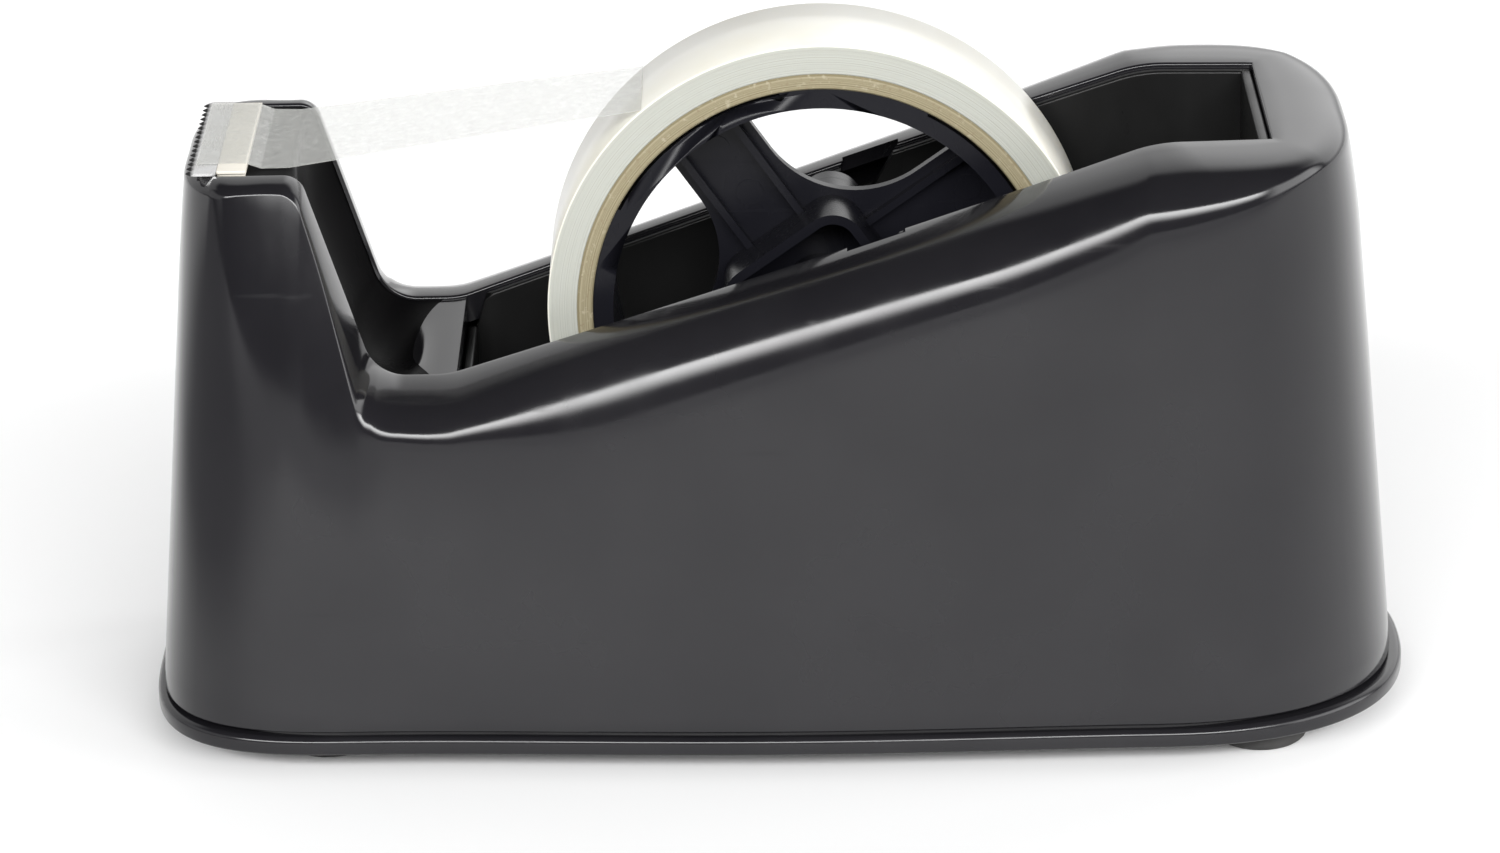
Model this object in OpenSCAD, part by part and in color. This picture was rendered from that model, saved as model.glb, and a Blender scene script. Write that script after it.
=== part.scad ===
// Weighted desk tape dispenser: a drafted housing with a cutter tower at the front, a sloping rim
// and a reel well, on a flanged base plate with rubber feet. The reel hub turns on an axle whose
// end caps drop into slanted slots in the well. +X runs from the cutter to the rear, +Z is up, and
// the origin is on the standing surface under the centre of the base plate.

/* [Base] */
// Length of the base plate
plate_l = 212; // [209:0.5:215]
// Greatest width of the base plate
plate_w = 87; // [86:0.5:90]
// Thickness of the base plate's flange
plate_t = 3; // [2.5:0.1:3.5]
// Height of the rubber feet under the plate
foot_h = 4.5; // [3:0.5:6]

/* [Housing] */
// Height of the rear rim above the standing surface
rim_z = 103; // [101:0.5:105]
// Height of the tape platform on top of the tower
tower_z = 98.9; // [97:0.1:101]
// Lowest height of the rim, in the dip behind the tower
dip_z = 64; // [62:0.5:66]
// Wall thickness of the housing
wall = 2.4; // [2:0.1:2.6]

/* [Reel] */
// Height of the reel's axis above the standing surface
reel_z = 71.7; // [71:0.1:73]
// Outer diameter of the wound tape
tape_d = 91.2; // [86:0.2:96]
// Width of the tape
tape_w = 25; // [19:0.5:25]
// Inner diameter of the cardboard core
core_id = 76.2; // [76:0.1:76.4]
// Wall thickness of the cardboard core
core_t = 2.6; // [2:0.1:3]

/* [Axle] */
// Diameter of the steel axle pin
pin_d = 6; // [5:0.5:7]
// Radial running clearance between the pin and the hub's bore
run_gap = 0.05; // [0.02:0.01:0.1]
// Width of the slanted slots that take the axle's caps
slot_w = 6.4; // [6.2:0.1:7]

/* [Hidden] */
$fn = 96;
eps = 0.01;

// --- heights of the stack at the bottom ---
plate_z = foot_h;
flange_z = plate_z + plate_t;
groove_h = 0.6;
body_z = flange_z + groove_h;

// --- plan outlines, each [front x, front length, front half-width, front power,
//                          rear x, rear length, rear half-width, rear power, side bow] ---
plate_plan = [-plate_l / 2, 37, 0.4667 * plate_w, 3.2,
              plate_l / 2, 44, 0.4897 * plate_w, 2.3, 0.0202 * plate_w];
flange_out = 1.1;
rear_flange_out = 2;
base_plan = [plate_plan[0] + flange_out, 36.5, plate_plan[2] - flange_out, 3.2,
             plate_plan[4] - rear_flange_out, 43, plate_plan[6] - flange_out, 2.3, plate_plan[8]];
top_plan = [-97.3, 32, 31, 3.4, 95.7, 35, 43, 2.7, 0];

// --- the opening in the top: the tower's inner edges, then the reel opening ---
open_front_x = -91.5;
well_front_x = -53;
well_rear_x = 81.2;
well_front_h = 19.6;
well_rear_h = 21.3;
well_bow = 2.6;
lip = 5;
lip_t = 1.8;
lip_gap = 0.3;
slope_end_x = 62.3;

// --- side profile of the rim's inner edge, as corners [x, z] with a radius at each ---
rim_corners = [[open_front_x, tower_z], [-77.6, tower_z], [-66.3, dip_z], [-54.2, dip_z],
               [slope_end_x, rim_z], [well_rear_x, rim_z]];
rim_radii = [0, 3.6, 7, 14, 25, 0];

// --- reel and axle ---
reel_x = 7.7;
hub_half = tape_w / 2 - 0.5;
hub_r = core_id / 2 - 0.6;
hub_in = hub_r - 2.8;
spoke_angle = 35;
spoke_half = 7.3;
window_r = 17.4;
disc_t = 2;
rib_t = 1.2;
rib_y = 5.2;
rib_half = 3;
ring_bite = 0.3;
collar_half = 13.2;
collar_r = 5.5;
collar_t = 1.6;
boss_r = 6;
slot_tilt = 29;
slot_deep = 2.4;
cap_gap = 0.4;

// --- reel well ---
well_t = 1.8;
well_fit = 0.1;
well_floor_z = 18;
well_floor_t = 2;
well_drop = 0.9;
front_drop = 6;
saddle_half = 6;
saddle_out = 5;

// --- fastener and foot places ---
boss_at = [[-92, 18], [90, 18]];
post_at = [[-42, 14], [68, 14]];
block_screw_at = [[-71, 8]];
foot_at = [[-76, 24], [80, 27]];
foot_r = 8;
foot_recess = 1;
screw_r = 1.5;
head_r = 3;
head_h = 1.8;

// ---------- plain geometry ----------
function unit(v) = v / norm(v);
function lerp(a, b, t) = a + (b - a) * t;
function smooth(a, b, x) = let(t = min(max((x - a) / (b - a), 0), 1)) t * t * (3 - 2 * t);

// Point at s along one side of an outline: 0 front tip, 1 to 2 along the side, 3 rear tip.
function plan_point(p, s) =
  s < 1 ? [p[0] + p[1] * (1 - pow(cos(90 * s), 2 / p[3])), p[2] * pow(sin(90 * s), 2 / p[3])] :
  s > 2 ? [p[4] - p[5] * (1 - pow(sin(90 * (s - 2)), 2 / p[7])),
           p[6] * pow(cos(90 * (s - 2)), 2 / p[7])] :
  let(t = s - 1) [lerp(p[0] + p[1], p[4] - p[5], t),
    lerp(p[2], p[6], t * t * (3 - 2 * t)) + p[8] * pow(4 * t * (1 - t), 2)];

// Closed outline with n steps along each side.
function plan_outline(p, n) = concat(
  [for (i = [0 : n]) plan_point(p, 3 * i / n)],
  [for (i = [n - 1 : -1 : 1]) let(q = plan_point(p, 3 * i / n)) [q[0], -q[1]]]);

// Arc that rounds corner b between a and c with radius r.
function fillet(a, b, c, r, n) =
  let(u = unit(a - b), v = unit(c - b), half = acos(u * v) / 2,
      centre = b + unit(u + v) * r / sin(half), from = b + u * r / tan(half) - centre,
      to = b + v * r / tan(half) - centre, turn = acos(from * to / (r * r)) * sign(cross(from, to)))
  [for (i = [0 : n]) let(w = turn * i / n)
    centre + [from[0] * cos(w) - from[1] * sin(w), from[0] * sin(w) + from[1] * cos(w)]];

// Polyline with its corners rounded.
function round_path(pts, radii, n) = [for (i = [0 : len(pts) - 1])
  each (radii[i] == 0 ? [pts[i]] : fillet(pts[i - 1], pts[i], pts[i + 1], radii[i], n))];

// Polyline with no step longer than step.
function fine_path(pts, step) = [for (i = [0 : len(pts) - 1])
  each (i == 0 ? [pts[0]] :
    let(n = ceil(norm(pts[i] - pts[i - 1]) / step)) [for (j = [1 : n]) lerp(pts[i - 1], pts[i], j / n)])];

// Half-width of the opening at x.
function open_half(x) =
  let(t = min(max((x - well_front_x) / (well_rear_x - well_front_x), 0), 1))
  lerp(well_front_h, well_rear_h, t) + well_bow * sin(180 * t);

// ---------- housing ----------
rim_path = fine_path(round_path(rim_corners, rim_radii, 6), 7);
front_share = 0.496;
rear_share = 2.55;
end_steps = 6;

// Place on the outline that faces the rim's inner edge at x.
function side_share(x) =
  x < -66 ? acos(pow(1 - (x - top_plan[0]) / top_plan[1], top_plan[3] / 2)) / 90 :
  x < 61 ? lerp(1, 2, (x + 66) / 127) :
  lerp(2, rear_share, (x - 61) / (well_rear_x - 61));

// Height of the rim's rounded crown at x.
function crown_h(x) =
  2.4 + 2.6 * smooth(-82, -70, x) + 2 * smooth(-70, -56, x) + 7.7 * smooth(-58, -25, x)
  - 4.5 * smooth(46, 80, x);

// Power of the crown's superellipse at x: the higher, the flatter the rim.
function crown_power(x) = 2.2 + 0.4 * smooth(-62, -30, x) + smooth(35, 68, x);

function path_rise(i) =
  let(a = rim_path[max(i - 1, 0)], b = rim_path[min(i + 1, len(rim_path) - 1)]) unit(b - a);

// Stations along one side, each [inner x, inner y, rim z, share, crown height, vertical stretch, power].
side_stations = concat(
  [for (i = [0 : end_steps - 1]) let(t = i / end_steps)
    [open_front_x, well_front_h * t, tower_z, front_share * t, crown_h(open_front_x), 1, 2.2]],
  [for (i = [0 : len(rim_path) - 1]) let(x = rim_path[i][0])
    [x, open_half(x), rim_path[i][1], side_share(x), crown_h(x), 1 / max(path_rise(i)[0], 0.55),
     crown_power(x)]],
  [for (i = [1 : end_steps]) let(t = i / end_steps)
    [well_rear_x, well_rear_h * (1 - t), rim_z, lerp(rear_share, 3, t), crown_h(well_rear_x), 1,
     crown_power(well_rear_x)]]);
stations = concat(
  [for (s = side_stations) [s, 1]],
  [for (i = [len(side_stations) - 2 : -1 : 1]) [side_stations[i], -1]]);

// The closed wall section at one station, from the outer foot of the wall over the rim and back.
function wall_section(s, side) =
  let(foot = plan_point(base_plan, s[3]), head = plan_point(top_plan, s[3]),
      lean = (head - foot) / (rim_z - body_z), z = s[2], rise = s[4] * s[5], bend = 2 / s[6],
      edge = [s[0], s[1]], at_rim = foot + lean * (z - body_z), n = unit(edge - at_rim),
      gap = norm(edge - at_rim), t = wall * s[5],
      lt = min(lip_t, gap - wall - lip_gap), within = gap - wall - lt,
      outer = [for (a = [0 : 15 : 90]) let(h = z - rise * (1 - pow(sin(a), bend)))
        [foot + lean * (h - body_z) + (edge - foot - lean * (h - body_z)) * (1 - pow(cos(a), bend)), h]],
      inner = [for (a = [75 : -25 : 0]) let(h = z - t - rise * (1 - pow(sin(a), bend)))
        [foot + lean * (h - body_z) + n * (wall + within * (1 - pow(cos(a), bend))), h]],
      pts = concat(
        [[foot, body_z]], outer,
        [[edge, z - lip * s[5]], [edge - n * lt, z - lip * s[5]], [edge - n * lt, z - t]],
        inner, [[foot + n * wall, body_z]]))
  [for (p = pts) [p[0][0], side * p[0][1], p[1]]];

module ring_loft(rings) {
  n = len(rings);
  m = len(rings[0]);
  polyhedron(
    points = [for (r = rings) each r],
    faces = [for (i = [0 : n - 1], j = [0 : m - 1])
      let(k = (i + 1) % n, l = (j + 1) % m, a = i * m + j, b = k * m + j, c = k * m + l, d = i * m + l)
      each [[a, b, c], [a, c, d]]],
    convexity = 10);
}

// Sheet of thickness t between two long edges: rows of points, top and underside.
module sheet(top, under) {
  n = len(top);
  m = len(top[0]);
  count = n * m;
  polyhedron(
    points = concat([for (r = top) each r], [for (r = under) each r]),
    faces = concat(
      [for (i = [0 : n - 2], j = [0 : m - 2]) let(a = i * m + j)
        each [[a, a + 1, a + m + 1], [a, a + m + 1, a + m]]],
      [for (i = [0 : n - 2], j = [0 : m - 2]) let(a = count + i * m + j)
        each [[a, a + m + 1, a + 1], [a, a + m, a + m + 1]]],
      [for (i = [0 : n - 2], j = [0, m - 1]) let(a = i * m + j, b = a + m)
        each (j == 0 ? [[a, b, count + b], [a, count + b, count + a]]
                     : [[a, count + b, b], [a, count + a, count + b]])],
      [for (j = [0 : m - 2], i = [0, n - 1]) let(a = i * m + j, b = a + 1)
        each (i == 0 ? [[a, count + b, b], [a, count + a, count + b]]
                     : [[a, b, count + b], [a, count + b, count + a]])]),
    convexity = 10);
}

// The tower's top, its dished back and the bridge in front of the reel opening.
web_step = 0.6;
web_bite = 1;
dish = 4.5;
platform_z = tower_z - web_step;
web_path = [for (p = fine_path(round_path(rim_corners, rim_radii, 6), 4)) if (p[0] < well_front_x) p];
web_line = concat([[open_front_x - web_bite, tower_z]], [for (i = [1 : len(web_path) - 1]) web_path[i]],
                  [[well_front_x, lerp(dip_z, rim_z, 0.0103)]]);
web_cols = 10;

function web_normal(i) =
  let(a = web_line[max(i - 1, 0)], b = web_line[min(i + 1, len(web_line) - 1)], u = unit(b - a))
  [-u[1], u[0]];

function web_row(i, sink) =
  let(p = web_line[i], n = web_normal(i), half = well_front_h + web_bite,
      depth = dish * smooth(-80, -73, p[0]) * (1 - smooth(-66, -57, p[0])))
  [for (j = [0 : web_cols]) let(y = half * (2 * j / web_cols - 1), u = min(abs(y) / well_front_h, 1),
      q = p - n * (depth * (1 - u * u) + web_step + sink)) [min(q[0], well_front_x), y, q[1]]];

module tower_web() {
  sheet([for (i = [0 : len(web_line) - 1]) web_row(i, 0)],
        [for (i = [0 : len(web_line) - 1]) web_row(i, wall)]);
  translate([well_front_x - wall, -well_front_h - 0.5, dip_z - lip])
    cube([wall, 2 * well_front_h + 1, lip - 0.5]);
}

// Both of a thing's mirror images about the middle plane.
module both_sides() {
  children();
  mirror([0, 1, 0]) children();
}

// A prism along Y between y0 and y1, from a shape drawn in X and Z.
module across(y0, y1) {
  translate([0, y1, 0]) rotate([90, 0, 0]) linear_extrude(y1 - y0) children();
}

// Slanted axle slot, drawn in X and Z: round at the seat, open at the top.
module slot_shape(w, length) {
  translate([reel_x, reel_z]) rotate(-slot_tilt) {
    circle(d = w);
    translate([-w / 2, 0]) square([w, length]);
  }
}

module shell_bosses() {
  both_sides() for (p = boss_at) {
    translate([p[0], p[1], body_z]) cylinder(r = 4, h = 13);
    wall_x = p[0] < 0 ? -102 : p[0];
    translate([wall_x, p[1] - 1, body_z]) cube([abs(p[0] < 0 ? wall_x - p[0] : 99 - p[0]), 2, 13]);
  }
}

module body_shell() {
  color([0.16, 0.16, 0.17]) difference() {
    union() {
      ring_loft([for (s = stations) wall_section(s[0], s[1])]);
      tower_web();
      shell_bosses();
    }
    both_sides() {
      across(15, open_half(reel_x) + slot_deep) slot_shape(slot_w + 0.4, 40);
      for (p = boss_at) translate([p[0], p[1], body_z - 1]) cylinder(r = screw_r - 0.1, h = 11);
    }
    for (y = [-13, 13]) translate([open_front_x + 0.3, y - 4.2, tower_z - 7]) cube([2.4, 8.4, 12]);
  }
}

// ---------- reel well ----------
function well_outline(inset, n) = concat(
  [for (i = [0 : n]) let(x = lerp(well_front_x + inset, well_rear_x - inset, i / n))
    [x, -open_half(x) + inset]],
  [for (i = [n : -1 : 0]) let(x = lerp(well_front_x + inset, well_rear_x - inset, i / n))
    [x, open_half(x) - inset]]);

module under_rim(drop) {
  across(-60, 60) polygon(concat(
    [for (p = rim_path) if (p[0] > -60) p - [0, drop]],
    [[well_rear_x + 5, rim_z - drop], [well_rear_x + 5, 0], [-60, 0]]));
}

module reel_well() {
  color([0.1, 0.1, 0.11]) difference() {
    union() {
      intersection() {
        translate([0, 0, well_floor_z]) linear_extrude(rim_z)
          polygon(well_outline(well_fit, 24));
        under_rim(well_drop);
      }
      both_sides() {
        intersection() {
          translate([reel_x - saddle_half, well_rear_h - 1, reel_z - 10])
            cube([2 * saddle_half + 8, saddle_out + 1, 40]);
          under_rim(lip + 1.2);
        }
        for (p = post_at) translate([p[0], p[1], body_z]) cylinder(r = 3.5, h = well_floor_z - body_z + 1);
      }
    }
    translate([0, 0, well_floor_z + well_floor_t]) linear_extrude(rim_z)
      polygon(well_outline(well_fit + well_t, 24));
    translate([well_front_x - 1, -well_front_h, dip_z - front_drop])
      cube([well_t + 2, 2 * well_front_h, front_drop]);
    both_sides() {
      across(15, open_half(reel_x) + slot_deep) slot_shape(slot_w, 40);
      for (p = post_at) translate([p[0], p[1], body_z - 1]) cylinder(r = screw_r - 0.1, h = 9);
    }
  }
}

// ---------- base ----------
module each_screw(places) {
  both_sides() for (p = places) translate([p[0], p[1], 0]) children();
}

module base_plate() {
  color([0.12, 0.12, 0.13]) difference() {
    union() {
      translate([0, 0, plate_z]) linear_extrude(plate_t) polygon(plan_outline(plate_plan, 48));
      translate([0, 0, flange_z - eps]) linear_extrude(groove_h + eps)
        polygon([for (q = plan_outline(base_plan, 48)) q * 0.975]);
    }
    each_screw(concat(boss_at, post_at, block_screw_at)) {
      translate([0, 0, plate_z - 1]) cylinder(r = screw_r + 0.2, h = 8);
      translate([0, 0, plate_z - 1]) cylinder(r = head_r + 0.2, h = head_h + 1);
    }
    each_screw(foot_at) translate([0, 0, plate_z - 1]) cylinder(r = foot_r + 0.1, h = foot_recess + 1);
  }
}

module foot(x, y) {
  color([0.09, 0.09, 0.09]) translate([x, y, 0]) rotate_extrude()
    polygon([[0, 0], [foot_r - 1.2, 0], [foot_r, 1.2], [foot_r, foot_h + foot_recess - 0.05],
             [0, foot_h + foot_recess - 0.05]]);
}

module foot_front_left() { foot(foot_at[0][0], foot_at[0][1]); }
module foot_front_right() { foot(foot_at[0][0], -foot_at[0][1]); }
module foot_rear_left() { foot(foot_at[1][0], foot_at[1][1]); }
module foot_rear_right() { foot(foot_at[1][0], -foot_at[1][1]); }

module screw(length) {
  translate([0, 0, plate_z + 0.05]) difference() {
    union() {
      cylinder(r = head_r, h = head_h - 0.1);
      cylinder(r = screw_r - 0.15, h = length);
    }
    for (a = [0, 90]) rotate(a) translate([-2, -0.35, -1]) cube([4, 0.7, 1.8]);
  }
}

module base_screws() { color("silver") each_screw(boss_at) screw(12); }
module well_screws() { color("silver") each_screw(post_at) screw(11); }
module ballast_screws() { color("silver") each_screw(block_screw_at) screw(14); }

slab_z0 = body_z + 0.1;
slab_z1 = well_floor_z - 0.2;

module ballast_slab() {
  color([0.35, 0.35, 0.36]) difference() {
    translate([-50, -34, slab_z0]) cube([128, 68, slab_z1 - slab_z0]);
    each_screw(post_at) translate([0, 0, slab_z0 - 1]) cylinder(r = 4.2, h = 20);
    both_sides() translate([78, 27, slab_z0 - 1]) rotate(-45) cube([20, 20, 20]);
  }
}

module ballast_block() {
  color([0.35, 0.35, 0.36]) difference() {
    translate([-86, -29, slab_z0]) cube([30, 58, 36]);
    each_screw(block_screw_at) translate([0, 0, slab_z0 - 1]) cylinder(r = screw_r - 0.1, h = 14);
    both_sides() translate([-86, 23, slab_z0 - 1]) rotate(45) translate([-20, 0, 0]) cube([20, 20, 60]);
  }
}

// ---------- cutter ----------
pad_x0 = -91.2;
pad_x1 = -86.4;
pad_half = 19;
pad_z = tower_z + 0.5;
blade_x0 = -95.3;
blade_half = 20;
tooth = 1;
tooth_count = 16;
blade_t = 0.45;

module blade_carrier() {
  color([0.86, 0.84, 0.78]) union() {
    translate([pad_x0, -pad_half, tower_z + 0.02]) cube([pad_x1 - pad_x0, 2 * pad_half, pad_z - tower_z]);
    translate([pad_x0 + 0.1, -pad_half + 0.5, platform_z + 0.02])
      cube([pad_x1 - pad_x0 - 0.2, 2 * pad_half - 1, web_step + 0.1]);
    for (y = [-13, 13]) translate([open_front_x + 0.5, y - 4, tower_z - 5]) cube([2, 8, 5]);
  }
}

module cutter_blade() {
  pitch = 2 * blade_half / tooth_count;
  color([0.8, 0.8, 0.82]) union() {
    translate([0, 0, tower_z + 0.02]) linear_extrude(blade_t) polygon(concat(
      [for (i = [0 : tooth_count - 1]) each [
        [blade_x0, -blade_half + i * pitch], [blade_x0 - tooth, -blade_half + (i + 0.5) * pitch]]],
      [[blade_x0, blade_half], [pad_x0 - 0.05, blade_half], [pad_x0 - 0.05, -blade_half]]));
  }
}

// ---------- reel ----------
// Places a shape drawn about Z on the reel's axis, with its own +Z towards the near side.
module on_axis() {
  translate([reel_x, 0, reel_z]) rotate([90, 0, 0]) children();
}

module four_ways() {
  for (i = [0 : 3]) rotate(90 * i) children();
}

// One window between two spokes, drawn square to them, with a round inner corner.
module window_shape() {
  reach = spoke_half + window_r;
  rotate(spoke_angle) intersection() {
    circle(r = hub_in + ring_bite);
    union() {
      translate([reach, spoke_half]) square(60);
      translate([spoke_half, reach]) square(60);
      translate([reach, reach]) circle(r = window_r);
    }
  }
}

// Square with round corners, set between the spokes.
module collar_shape(half, r) {
  rotate(spoke_angle) {
    square([2 * half, 2 * (half - r)], center = true);
    square([2 * (half - r), 2 * half], center = true);
    four_ways() translate([half - r, half - r]) circle(r = r);
  }
}

module reel_hub() {
  color([0.14, 0.14, 0.15]) on_axis() difference() {
    union() {
      difference() {
        union() {
          translate([0, 0, -hub_half]) cylinder(r = hub_r, h = 2 * hub_half);
          for (z = [-hub_half, hub_half - 3]) four_ways() rotate(spoke_angle + 27)
            translate([0, 0, z]) rotate_extrude(angle = 38) translate([hub_r - 1, 0]) square([1.5, 3]);
        }
        translate([0, 0, -hub_half - 1]) cylinder(r = hub_in, h = 2 * hub_half + 2);
      }
      translate([0, 0, -disc_t / 2]) linear_extrude(disc_t) difference() {
        circle(r = hub_in + 1);
        four_ways() window_shape();
      }
      translate([0, 0, -rib_half]) linear_extrude(2 * rib_half) four_ways() rotate(spoke_angle)
        for (y = [-rib_y, rib_y]) translate([collar_half - 0.5, y - rib_t / 2])
          square([hub_in - collar_half + 1, rib_t]);
      translate([0, 0, -hub_half]) linear_extrude(2 * hub_half) difference() {
        collar_shape(collar_half, collar_r);
        collar_shape(collar_half - collar_t, collar_r - collar_t);
      }
      translate([0, 0, -hub_half]) cylinder(r = boss_r, h = 2 * hub_half);
    }
    translate([0, 0, -hub_half - 1]) cylinder(r = pin_d / 2 + run_gap, h = 2 * hub_half + 2);
  }
}

module tube(r0, r1, half) {
  on_axis() difference() {
    translate([0, 0, -half]) cylinder(r = r1, h = 2 * half);
    translate([0, 0, -half - 1]) cylinder(r = r0, h = 2 * half + 2);
  }
}

module tape_core() { color([0.71, 0.66, 0.54]) tube(core_id / 2, core_id / 2 + core_t, tape_w / 2); }
module tape_winding() {
  color([0.93, 0.93, 0.88]) tube(core_id / 2 + core_t + 0.02, tape_d / 2, tape_w / 2);
}

// ---------- axle ----------
pin_half = 20;
cap_r = 5.3;
cap_end = open_half(reel_x) - well_fit - well_t - cap_gap;
tongue_end = open_half(reel_x) + slot_deep - 0.4;
tongue_w = slot_w - 0.4;

module axle_pin() {
  color([0.75, 0.75, 0.77]) on_axis() translate([0, 0, -pin_half]) cylinder(d = pin_d, h = 2 * pin_half);
}

// Cap on the far side: a collar on the pin and a flat-sided tongue that sits in the slot.
module axle_cap() {
  difference() {
    union() {
      across(hub_half + cap_gap, cap_end) translate([reel_x, reel_z]) circle(r = cap_r);
      across(cap_end - 1, tongue_end) slot_part(tongue_w);
    }
    across(hub_half, pin_half + 0.2) translate([reel_x, reel_z]) circle(d = pin_d + 0.04);
  }
}

module slot_part(w) {
  translate([reel_x, reel_z]) rotate(-slot_tilt) {
    circle(d = w);
    translate([-w / 2, 0]) square([w, 5]);
  }
}

module axle_cap_near() { color([0.15, 0.15, 0.16]) mirror([0, 1, 0]) axle_cap(); }
module axle_cap_far() { color([0.15, 0.15, 0.16]) axle_cap(); }

// ---------- free strip of tape ----------
strip_t = 0.15;
strip_half = tape_w / 2;
strip_near = -15.2;
strip_far = 18.6;
peel_angle = 130;
peel_r = tape_d / 2 + 0.05;
strip_z = pad_z + 0.05;
strip_line = [[blade_x0 + 0.4, strip_z], [pad_x1, strip_z], [-84.4, platform_z + 0.12],
              [-79.8, platform_z + 0.12],
              [reel_x + peel_r * cos(peel_angle), reel_z + peel_r * sin(peel_angle)]];

module tape_strip() {
  roll_x = strip_line[len(strip_line) - 1][0];
  color([0.95, 0.95, 0.93, 0.5]) intersection() {
    across(strip_near, strip_far) polygon(concat(
      strip_line, [for (i = [len(strip_line) - 1 : -1 : 0]) strip_line[i] + [0, strip_t]]));
    linear_extrude(2 * rim_z) polygon([
      [-plate_l, strip_near], [open_front_x, strip_near], [roll_x, -strip_half], [roll_x + 1, -strip_half],
      [roll_x + 1, strip_half], [roll_x, strip_half], [open_front_x, strip_far], [-plate_l, strip_far]]);
  }
}

body_shell();
reel_well();
base_plate();
ballast_slab();
ballast_block();
base_screws();
well_screws();
ballast_screws();
foot_front_left();
foot_front_right();
foot_rear_left();
foot_rear_right();
blade_carrier();
cutter_blade();
reel_hub();
tape_core();
tape_winding();
tape_strip();
axle_pin();
axle_cap_near();
axle_cap_far();
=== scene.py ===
"""Looks of a weighted desk tape dispenser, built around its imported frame.

Lengths below are millimetres in the part's own frame: +X from the cutter to the rear, +Z up, and the
origin on the standing surface under the middle of the base plate. Every mesh is scaled to metres.
"""
import math

import bmesh
import bpy
import numpy as np
from mathutils import Matrix, Vector


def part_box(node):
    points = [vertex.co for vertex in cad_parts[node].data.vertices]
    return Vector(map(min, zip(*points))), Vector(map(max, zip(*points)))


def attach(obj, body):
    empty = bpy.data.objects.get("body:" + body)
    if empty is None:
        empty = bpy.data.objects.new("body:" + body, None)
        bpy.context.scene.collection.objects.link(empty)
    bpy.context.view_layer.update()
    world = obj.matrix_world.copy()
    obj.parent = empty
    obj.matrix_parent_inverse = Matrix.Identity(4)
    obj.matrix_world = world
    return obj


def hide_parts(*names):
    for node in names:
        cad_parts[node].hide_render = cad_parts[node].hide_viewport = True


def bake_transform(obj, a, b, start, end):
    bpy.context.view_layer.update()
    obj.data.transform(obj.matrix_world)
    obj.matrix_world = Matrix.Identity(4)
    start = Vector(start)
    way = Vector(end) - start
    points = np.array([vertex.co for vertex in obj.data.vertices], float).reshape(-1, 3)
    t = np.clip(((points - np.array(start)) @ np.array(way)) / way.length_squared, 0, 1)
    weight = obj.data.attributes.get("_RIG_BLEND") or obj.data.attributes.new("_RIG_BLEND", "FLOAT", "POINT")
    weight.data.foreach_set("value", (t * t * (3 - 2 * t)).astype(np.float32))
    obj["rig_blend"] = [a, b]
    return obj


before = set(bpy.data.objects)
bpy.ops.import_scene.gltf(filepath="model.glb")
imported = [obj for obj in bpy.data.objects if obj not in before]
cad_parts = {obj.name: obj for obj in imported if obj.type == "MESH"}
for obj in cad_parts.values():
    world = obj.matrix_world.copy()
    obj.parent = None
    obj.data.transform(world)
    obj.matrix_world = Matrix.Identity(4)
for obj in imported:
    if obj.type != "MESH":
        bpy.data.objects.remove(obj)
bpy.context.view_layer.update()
MM = 0.001


def box_mm(node):
    """Lowest and highest corner of a CAD node in millimetres."""
    low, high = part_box(node)
    return np.array(low) / MM, np.array(high) / MM


# ---------- driving sizes, read from the frame ----------
plate_low, plate_high = box_mm("base_plate")
shell_low, shell_high = box_mm("body_shell")
pin_low, pin_high = box_mm("axle_pin")
tape_low, tape_high = box_mm("tape_winding")
core_low, core_high = box_mm("tape_core")
pad_high = box_mm("blade_carrier")[1]
blade_low, blade_high = box_mm("cutter_blade")

PLATE_Z = plate_low[2]
FLANGE_Z = PLATE_Z + 3
BODY_Z = shell_low[2]
RIM_Z = shell_high[2]
TOWER_Z = blade_low[2] - 0.02
DIP_Z = 64
WALL = 2.4
REEL_X = (pin_low[0] + pin_high[0]) / 2
REEL_Z = (pin_low[2] + pin_high[2]) / 2
PIN_R = (pin_high[0] - pin_low[0]) / 2
TAPE_R = (tape_high[0] - tape_low[0]) / 2
TAPE_HALF = tape_high[1]
CORE_R = (core_high[0] - core_low[0]) / 2
CORE_T = 2.6

# Plan outlines: front x, length, half-width, power; rear x, length, half-width, power; side bow
PLATE_PLAN = [plate_low[0], 37, 40.6, 3.2, plate_high[0], 44, 42.6, 2.3, 1.757]
BASE_PLAN = [PLATE_PLAN[0] + 1.1, 36.5, PLATE_PLAN[2] - 1.1, 3.2,
             PLATE_PLAN[4] - 2, 43, PLATE_PLAN[6] - 1.1, 2.3, 1.757]
TOP_PLAN = [-97.3, 32, 31, 3.4, 95.7, 35, 43, 2.7, 0]

# Places on an outline that face the corners of the opening, and the stretch of side between its ends
FRONT_SHARE = 0.496
REAR_SHARE = 2.55
SIDE_X = (-66, 61)

OPEN_FRONT_X = -91.5
WELL_FRONT_X = -53
WELL_REAR_X = 81.2
WELL_FRONT_H = 19.6
WELL_REAR_H = 21.3
LIP = 5
LIP_T = 1.8
EDGE_R = 0.5
FOOT_R = 0.35
RIM_CORNERS = [(OPEN_FRONT_X, TOWER_Z), (-77.6, TOWER_Z), (-66.3, DIP_Z), (-54.2, DIP_Z),
               (62.3, RIM_Z), (WELL_REAR_X, RIM_Z)]
RIM_RADII = [0, 3.6, 7, 14, 25, 0]
WELL_FLOOR_Z = 18
SLOT_W = 6.4
SLOT_TILT = 29
SLOT_DEEP = 2.4
SLOT_Y = 15
SCREW_HOLE_R = 1.4
POCKET_Y = 13
BOSSES = [(-92, 18), (90, 18)]
POSTS = [(-42, 14), (68, 14)]
BLOCK_SCREWS = [(-71, 8)]
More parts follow.
